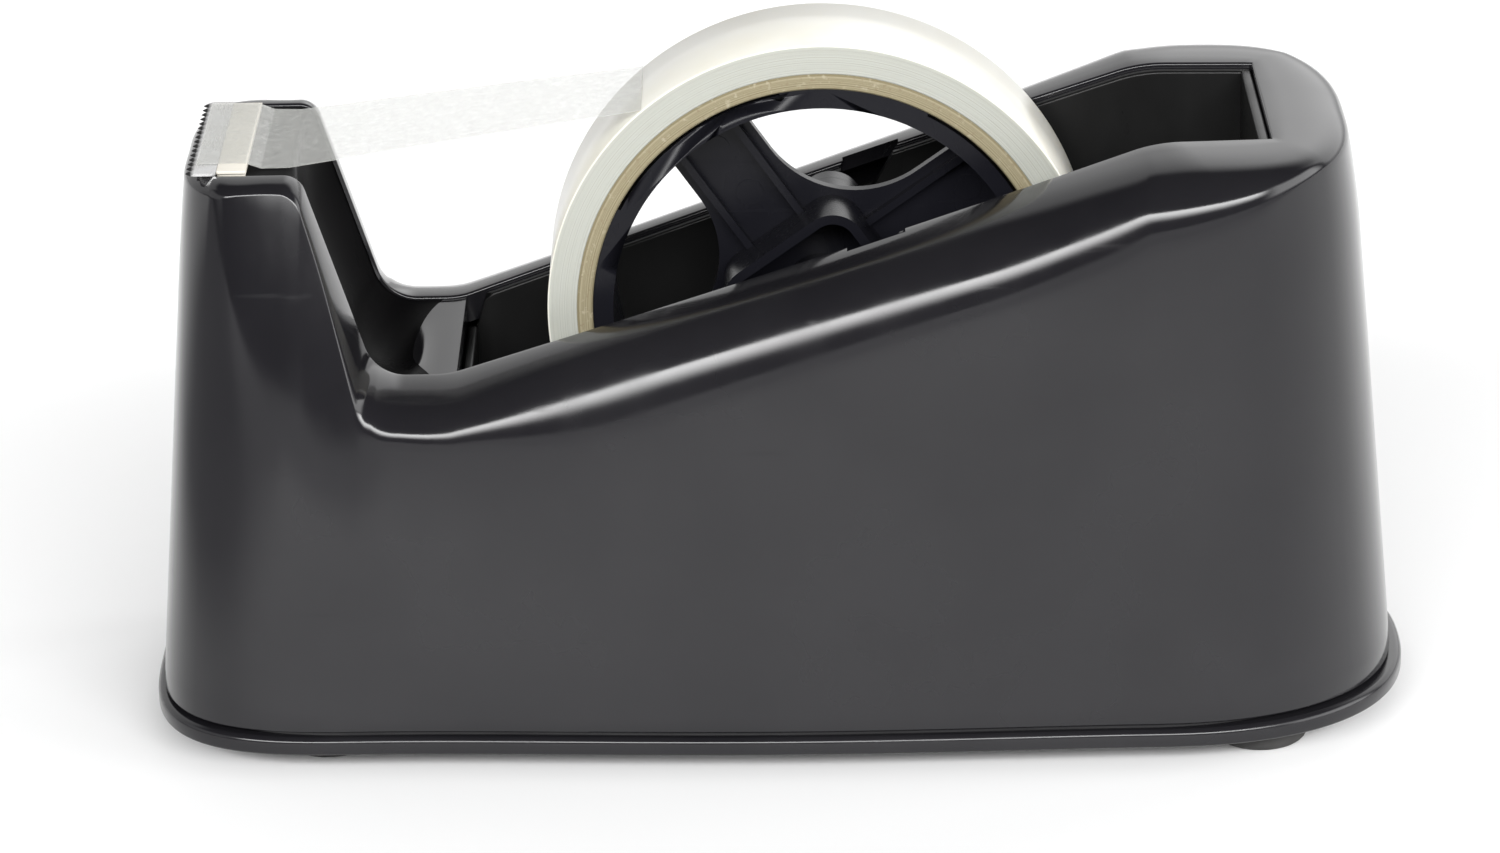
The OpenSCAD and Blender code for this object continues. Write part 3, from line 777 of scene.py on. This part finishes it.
def well_ring(inset, drop=None, floor=None):
    """One loop of the well's wall, at a depth under the rim or at a height of its own."""
    sides, ends = 90, 24
    x = np.linspace(WELL_FRONT_X + inset, WELL_REAR_X - inset, sides)
    near = np.column_stack([x, -open_half(x) + inset])
    far = np.column_stack([x[::-1], open_half(x[::-1]) - inset])
    rear = np.column_stack([np.full(ends, x[-1]), np.linspace(near[-1, 1], far[0, 1], ends + 2)[1:-1]])
    front = np.column_stack([np.full(ends, x[0]), np.linspace(far[-1, 1], near[0, 1], ends + 2)[1:-1]])
    flat = np.vstack([near, rear, far, front])
    low_front = 5 * (1 - smooth(WELL_FRONT_X + 2.2, WELL_FRONT_X + 3.6, flat[:, 0]))
    z = rim_height(flat[:, 0]) - drop - low_front if floor is None else np.full(len(flat), float(floor))
    return np.column_stack([flat, z])


def reel_well():
    """The open tub, with rounded edges, posts for its screws and slots for the axle's caps."""
    drop, fit, thick, floor_z, floor_t, floor_r = 0.9, 0.1, 1.8, WELL_FLOOR_Z, 2, 2
    rings = [well_ring(fit + 1.2, floor=floor_z), well_ring(fit + 0.35, floor=floor_z + 0.35),
             well_ring(fit, floor=floor_z + 1.2)]
    for a in np.radians(np.linspace(0, 90, 5)):
        rings.append(well_ring(fit + EDGE_R * (1 - math.cos(a)), drop + EDGE_R * (1 - math.sin(a))))
    inner = fit + thick
    for a in np.radians(np.linspace(90, 0, 5)):
        rings.append(well_ring(inner - EDGE_R * (1 - math.cos(a)), drop + EDGE_R * (1 - math.sin(a))))
    for a in np.radians(np.linspace(0, 90, 6)):
        height = floor_z + floor_t + floor_r * (1 - math.sin(a))
        rings.append(well_ring(inner + floor_r * (1 - math.cos(a)), floor=height))
    obj = make("reel_well_liner", stack(rings))
    top_gap = LIP + 1.2
    for side in (1, -1):
        x0, x1 = REEL_X - 6, REEL_X + 14
        outline = [(x0, REEL_Z - 10), (x1, REEL_Z - 10)]
        outline += [(x, float(rim_height(x)) - top_gap) for x in np.linspace(x1, x0, 8)]
        y = sorted((side * (WELL_REAR_H - 1), side * (WELL_REAR_H + 5)))
        combined(obj, prism_y(outline, *y), "UNION")
    for x, y in POSTS:
        combined(obj, both_sides(turned_z(x, y, [(3.5, BODY_Z), (3.5, floor_z + 1)], 40)), "UNION")
    reach = float(open_half(REEL_X)) + SLOT_DEEP
    combined(obj, both_sides(prism_y(slot_outline(SLOT_W, 40), SLOT_Y, reach)), "DIFFERENCE")
    holes = both_sides(*[screw_hole(x, y, BODY_Z + 8) for x, y in POSTS])
    combined(obj, holes, "DIFFERENCE")
    return piece(obj, black_well, "body", "well_plastic", "reel_well")


# ---------- base ----------
def outline_ring(plan, inset, z, scale=1.0, steps=150):
    """A whole outline at one height, moved in by the inset."""
    side = plan_points(plan, 3 * np.arange(steps + 1) / steps)
    loop = np.vstack([side, side[1:-1][::-1] * [1, -1]]) * scale
    run = np.roll(loop, -1, 0) - np.roll(loop, 1, 0)
    run /= np.linalg.norm(run, axis=1)[:, None]
    inward = np.column_stack([run[:, 1], -run[:, 0]])
    return np.column_stack([loop + inward * inset, np.full(len(loop), z)])


def base_plate():
    """The flanged plate: a rounded flange, a step in to the groove, counterbored holes and foot recesses."""
    top_r, bottom_r, groove = 1.1, 0.4, 0.975
    rings = []
    for a in np.radians(np.linspace(90, 0, 4)):
        height = PLATE_Z + bottom_r * (1 - math.sin(a))
        rings.append(outline_ring(PLATE_PLAN, bottom_r * (1 - math.cos(a)), height))
    for a in np.radians(np.linspace(0, 90, 8)):
        height = FLANGE_Z - top_r * (1 - math.sin(a))
        rings.append(outline_ring(PLATE_PLAN, top_r * (1 - math.cos(a)), height))
    rings.append(outline_ring(BASE_PLAN, 0, FLANGE_Z, groove))
    rings.append(outline_ring(BASE_PLAN, 0, BODY_Z - 0.02, groove))
    obj = make("base_tray", stack(rings))
    cuts = []
    for x, y in BOSSES + POSTS + BLOCK_SCREWS:
        cuts.append(turned_z(x, y, [(3.2, PLATE_Z - 1), (3.2, PLATE_Z + 1.8), (1.7, PLATE_Z + 1.9),
                                    (1.7, PLATE_Z + 7)], 40))
    for x, y in {(x, abs(y)) for x, y in FEET.values()}:
        cuts.append(turned_z(x, y, [(8.1, PLATE_Z - 1), (8.1, PLATE_Z + 1)], 64))
    combined(obj, both_sides(*cuts), "DIFFERENCE")
    return piece(obj, black_base, "body", "base_plastic", "base_plate")


def foot(name, x, y):
    """Rubber foot with rounded edges and a shallow suction ring in its sole."""
    top = box_mm(name)[1][2]
    sole = [(0.2, 0.9), (3.2, 0.9), (3.9, 0.6), (4.6, 0.1), (5.0, 0.0), (6.3, 0.0), (6.9, 0.15), (7.4, 0.5)]
    side = [(7.75, 0.9), (7.9, 1.4), (7.95, 2.2), (8.0, 3.0), (8.0, top - 0.2), (7.8, top), (0.2, top)]
    obj = make(name + "_pad", turned_z(x, y, sole + side, 72))
    return piece(obj, foot_rubber, "body", "foot_rubber", name)


def screw_solid(x, y, length):
    """Pan-head screw with a rolled thread, seated in the plate's counterbore."""
    z0, pitch, r, depth = PLATE_Z + 0.05, 1.0, 1.35, 0.22
    steps, per_turn = 40, 10
    rings = []
    for rr, z in [(0.3, 0), (2.2, 0), (2.7, 0.15), (3.0, 0.5), (3.0, 1.7), (2.0, 1.7), (1.2, 1.7)]:
        rings.append([(px, py, z0 + z) for px, py in circle(x, y, rr, steps)])
    rows = int((length - 2.2) / pitch * per_turn)
    for i in range(rows + 1):
        z = 1.8 + i * pitch / per_turn
        fade = min(1.0, i / 6, (rows - i) / 12 + 0.15)
        ring = []
        for j in range(steps):
            a = 2 * math.pi * j / steps
            phase = (i / per_turn - j / steps) % 1.0
            rr = r - depth + depth * 2 * fade * max(0.0, 1 - abs(phase - 0.5) * 3)
            ring.append((x + rr * math.cos(a), y + rr * math.sin(a), z0 + z))
        rings.append(ring)
    rings.append([(px, py, z0 + length) for px, py in circle(x, y, 0.4, steps)])
    return stack(rings)


def screws(name, node, places, length):
    """One set of screws, each with a cross recess in its head."""
    obj = make(name, both_sides(*[screw_solid(x, y, length) for x, y in places]))
    cross = []
    for x, y in places:
        for half_x, half_y in ((2.0, 0.35), (0.35, 2.0)):
            cross.append([(x - half_x, y - half_y, PLATE_Z - 1), (x + half_x, y + half_y, PLATE_Z + 0.9)])
    for half in (0, 1):
        cutters = both_sides(*[box_solid(*c) for c in cross[half::2]])
        combined(obj, cutters, "DIFFERENCE")
    return piece(obj, screw_zinc, "body", "screw_steel", node, angle=40)


def ballast(name, node):
    """Cast weight: the CAD block with rounded edges."""
    obj = softened(copy_of(node, name), 1.2, 4)
    return piece(obj, iron, "body", "ballast_iron", node)


# ---------- cutter ----------
def carrier():
    """The ivory pad that carries the blade: the CAD shape with rounded edges."""
    obj = softened(copy_of("blade_carrier", "blade_carrier_pad"), 0.16, 3)
    return piece(obj, ivory, "body", "carrier_plastic", "blade_carrier")


def blade():
    """Serrated strip: teeth with a ground bevel along their upper side."""
    teeth, tooth, thick, grind = 16, 1.0, 0.45, 0.55
    half, seat_z = blade_high[1], blade_low[2]
    x0, x1 = blade_low[0] + tooth, blade_high[0]
    pitch = 2 * half / teeth
    rings = []
    for z, back, root in ((0.0, 0.0, 0.0), (0.12, 0.0, 0.0), (thick - 0.03, grind, grind * 0.9),
                          (thick, grind + 0.08, grind + 0.03)):
        edge = []
        for i in range(teeth):
            y = -half + i * pitch
            edge += [(x0 + root, y, seat_z + z), (x0 - tooth + back, y + pitch / 2, seat_z + z)]
        edge += [(x0 + root, half, seat_z + z), (x1, half, seat_z + z), (x1, -half, seat_z + z)]
        rings.append(edge)
    obj = make("cutter_blade_strip", stack(rings))
    return piece(obj, blade_steel, "body", "blade_steel", "cutter_blade", angle=12)


# ---------- reel ----------
def hub():
    """The spoked wheel, with the round marks that ejector pins leave on its web."""
    mark_r, mark_y = 2.3, (-1.14, -0.6)
    obj = softened(copy_of("reel_hub", "reel_hub_wheel"), 0.2, 3)
    for turn in range(4):
        a = math.radians(35 + 90 * turn)
        for r in (20.5, 30):
            x, z = REEL_X + r * math.cos(a), REEL_Z + r * math.sin(a)
            combined(obj, both_sides(prism_y(circle(x, z, mark_r, 40), *mark_y)), "UNION")
    return piece(obj, black_hub, "reel", "hub_plastic", "reel_hub", angle=34)


def core():
    """Cardboard tube with slightly furred, rounded ends."""
    inner, outer, half, fur = CORE_R - CORE_T, CORE_R, core_high[1], 0.05
    layers = np.linspace(inner + 0.45, outer - 0.2, 7)
    profile = [(inner, -half + 0.25), (inner, half - 0.25), (inner + 0.25, half)]
    profile += [(r, half - fur * hashed(i, 3)) for i, r in enumerate(layers)]
    profile += [(outer, half - 0.1), (outer, -half + 0.1)]
    profile += [(r, -half + fur * hashed(i, 4)) for i, r in enumerate(layers[::-1])]
    profile += [(inner + 0.25, -half)]
    obj = make("tape_core_tube", turned_reel(profile, 256, ring=True))
    return piece(obj, board, "reel", "core_board", "tape_core")


def winding():
    """The wound film: each side is made of fine rings that stand a little in or out."""
    inner, outer, half = CORE_R + 0.02, TAPE_R, TAPE_HALF
    radii = np.arange(inner + 0.1, outer - 0.15, 0.22)
    near = [(r, -half + 0.07 * hashed(i, 1)) for i, r in enumerate(radii)]
    far = [(r, half - 0.07 * hashed(i, 2)) for i, r in enumerate(radii)]
    profile = [(inner, -half + 0.1)] + near + [(outer - 0.06, -half + 0.03), (outer, -half + 0.12)]
    profile += [(outer, half - 0.12), (outer - 0.06, half - 0.03)] + far[::-1] + [(inner, half - 0.1)]
    obj = make("tape_roll", turned_reel(profile, 320, ring=True))
    return piece(obj, film_roll, "reel", "tape_film", "tape_winding", angle=50)


def strip():
    """The free end of the tape, from the roll over the tower to the cutter's teeth."""
    thick = 0.12
    low, high = box_mm("tape_strip")
    peel = math.radians(130)
    peel_r = TAPE_R + 0.06
    pad_z, deck_z, land_x, leave_x = pad_high[2] + 0.04, TOWER_Z - 0.42, -84.2, -79.6
    corners = [(low[0] + 0.1, pad_z), (pad_high[0] - 0.4, pad_z), (land_x, deck_z), (leave_x, deck_z),
               (REEL_X + peel_r * math.cos(peel), REEL_Z + peel_r * math.sin(peel))]
    line = fine_path(rounded_path(corners, [0, 1.2, 1.2, 2.5, 0], 8), 1.0)
    half = TAPE_HALF - 0.05
    across = np.linspace(0, 1, 21)
    sections = []
    for x, z in line:
        spread = np.clip((x - corners[-1][0]) / (OPEN_FRONT_X - corners[-1][0]), 0, 1)
        y = lerp(lerp(-half, low[1] + 0.05, spread), lerp(half, high[1] - 0.05, spread), across)
        curl = 0.10 * smooth(-79, -60, x) * (1 - smooth(-40, -22, x)) * (2 * across - 1) ** 2
        top = [(x, v, z + thick + c) for v, c in zip(y, curl)]
        under = [(x, v, z + c) for v, c in zip(y[::-1], curl[::-1])]
        sections.append(top + under)
    obj = make("tape_free_end", stack(sections))
    piece(obj, film_strip, None, "strip_film", "tape_strip", angle=30)
    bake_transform(obj, "body", "axle", start=(-0.0796, 0, TOWER_Z * MM),
             end=(corners[-1][0] * MM, 0, corners[-1][1] * MM))
    return obj


# ---------- axle ----------
def pin():
    """The steel axle, with domed ends."""
    half = pin_high[1]
    profile = [(PIN_R - 0.6, -half), (PIN_R - 0.15, -half + 0.25), (PIN_R, -half + 0.6), (PIN_R, half - 0.6),
               (PIN_R - 0.15, half - 0.25), (PIN_R - 0.6, half)]
    obj = make("axle_steel_pin", turned_reel(profile, 96))
    return piece(obj, pin_steel, "axle", "pin_steel", "axle_pin", angle=20)


def cap(node):
    """One end cap of the axle: the CAD shape with rounded edges."""
    obj = softened(copy_of(node, node + "_bearing"), 0.3, 3)
    return piece(obj, black_cap, "axle", "cap_plastic", node)


housing()
reel_well()
base_plate()
for foot_name, (foot_x, foot_y) in FEET.items():
    foot(foot_name, foot_x, foot_y)
screws("base_screw_set", "base_screws", BOSSES, 12)
screws("well_screw_set", "well_screws", POSTS, 11)
screws("ballast_screw_set", "ballast_screws", BLOCK_SCREWS, 14)
ballast("ballast_floor_weight", "ballast_slab")
ballast("ballast_tower_weight", "ballast_block")
carrier()
blade()
hub()
core()
winding()
strip()
pin()
cap("axle_cap_near")
cap("axle_cap_far")


# ---------- stage ----------
def place_camera():
    """A camera at the fitted place, turned by yaw, pitch and roll."""
    yaw, pitch, roll = (math.radians(v) for v in (CAMERA_YAW, CAMERA_PITCH, CAMERA_ROLL))
    forward = Vector((math.sin(yaw) * math.cos(pitch), math.cos(yaw) * math.cos(pitch), -math.sin(pitch)))
    right = Vector((math.cos(yaw), -math.sin(yaw), 0))
    up = right.cross(forward)
    right, up = (right * math.cos(roll) + up * math.sin(roll), up * math.cos(roll) - right * math.sin(roll))
    camera = bpy.data.objects.new("camera", bpy.data.cameras.new("camera"))
    bpy.context.scene.collection.objects.link(camera)
    camera.data.lens = CAMERA_LENS
    camera.data.sensor_width = 36
    camera.data.clip_start = 0.05
    matrix = Matrix((right, up, -forward)).transposed().to_4x4()
    matrix.translation = Vector(CAMERA_AT) * MM
    camera.matrix_world = matrix
    bpy.context.scene.camera = camera


def studio():
    """A light tent: a backdrop, side panels, a strip softbox over the camera, a dark roof and a floor with
    painted shade in front and on the left.
    """
    world = bpy.data.worlds.new("studio")
    bpy.context.scene.world = world
    world.use_nodes = True
    tree = world.node_tree
    background = tree.nodes["Background"]

    def add(kind, inputs=None, **settings):
        node = tree.nodes.new(kind)
        for key, value in settings.items():
            setattr(node, key, value)
        for key, value in (inputs or {}).items():
            if isinstance(value, bpy.types.NodeSocket):
                tree.links.new(value, node.inputs[key])
            else:
                node.inputs[key].default_value = value
        return node.outputs[0]

    def math_node(operation, a, b=0.0):
        return add("ShaderNodeMath", {0: a, 1: b}, operation=operation)

    def edge(value, start, stop):
        return add("ShaderNodeMapRange", {"Value": value, "From Min": start, "From Max": stop},
                   interpolation_type="SMOOTHSTEP")

    def window(value, low, high, soft_low, soft_high):
        up = edge(value, low - soft_low, low + soft_low)
        down = edge(value, high + soft_high, high - soft_high)
        return math_node("MULTIPLY", up, down)

    def panel(strength, turn_value, turns, rises, soft):
        """A lit panel between two turns and two rises in degrees; soft is for its lower and upper edge."""
        level = math_node("MULTIPLY", window(turn_value, *turns, 8, 8), window(rise, *rises, *soft))
        return math_node("MULTIPLY", level, strength)

    # turn is 0 behind the object and 90 on its right; rise is the height above the horizon
    direction = tree.nodes.new("ShaderNodeTexCoord").outputs["Generated"]
    split = tree.nodes.new("ShaderNodeSeparateXYZ")
    tree.links.new(direction, split.inputs[0])
    degrees = 180 / math.pi
    rise = math_node("MULTIPLY", math_node("ARCSINE", split.outputs["Z"]), degrees)
    turn = math_node("MULTIPLY", math_node("ARCTAN2", split.outputs["X"], split.outputs["Y"]), degrees)
    whole_turn = math_node("ADD", turn, math_node("MULTIPLY", math_node("LESS_THAN", turn, 0.0), 360.0))
    total = panel(0.86, turn, (-70, 60), (-30, 48), (1, 6))
    for strength, turn_value, turns, rises, soft in (
            (4.3, turn, (72, 128), (4, 36), (4, 6)),
            (0.9, turn, (-128, -72), (4, 36), (4, 6)),
            (0.9, turn, (3, 60), (8, 40), (4, 6)),
            (20.3, whole_turn, (135, 225), (22, 33), (9, 1))):
        total = math_node("ADD", total, panel(strength, turn_value, turns, rises, soft))
    dimmest = 0.03
    total = math_node("ADD", total, dimmest)
    tree.links.new(total, background.inputs["Strength"])
    background.inputs["Color"].default_value = (1, 1, 1, 1)

    # painted shade: the floor's colour is darker well in front of the object and on its left, outside the
    # camera's view, so that the gloss reflects a darker floor there
    mesh = bpy.data.meshes.new("floor")
    size = 6
    corners = [(-size, -size, 0), (size, -size, 0), (size, size, 0), (-size, size, 0)]
    mesh.from_pydata(corners, [], [(0, 1, 2, 3)])
    floor = bpy.data.objects.new("floor", mesh)
    bpy.context.scene.collection.objects.link(floor)
    look = Look("floor_white_painted_shade", Roughness=0.55, Specular_IOR_Level=0.3)
    white = look.blend(look.noise(6, 3), (0.93, 0.93, 0.93, 1), (0.95, 0.95, 0.95, 1))
    spread = look.add("ShaderNodeSeparateXYZ", {"Vector": look.place})

    def fade(axis, start, stop):
        inputs = {"Value": spread.outputs[axis], "From Min": start, "From Max": stop}
        return look.add("ShaderNodeMapRange", inputs, interpolation_type="SMOOTHSTEP").outputs["Result"]

    beside = look.math("MULTIPLY", fade("X", -0.15, -0.28), fade("Y", 0.25, 0.05))
    shade = look.math("MAXIMUM", fade("Y", -0.25, -0.62), beside)
    look.link(look.blend(shade, white, (0.30, 0.30, 0.31, 1)), "Base Color")
    mesh.materials.append(look.material)
    bpy.context.scene.view_settings.view_transform = "Standard"


place_camera()
studio()
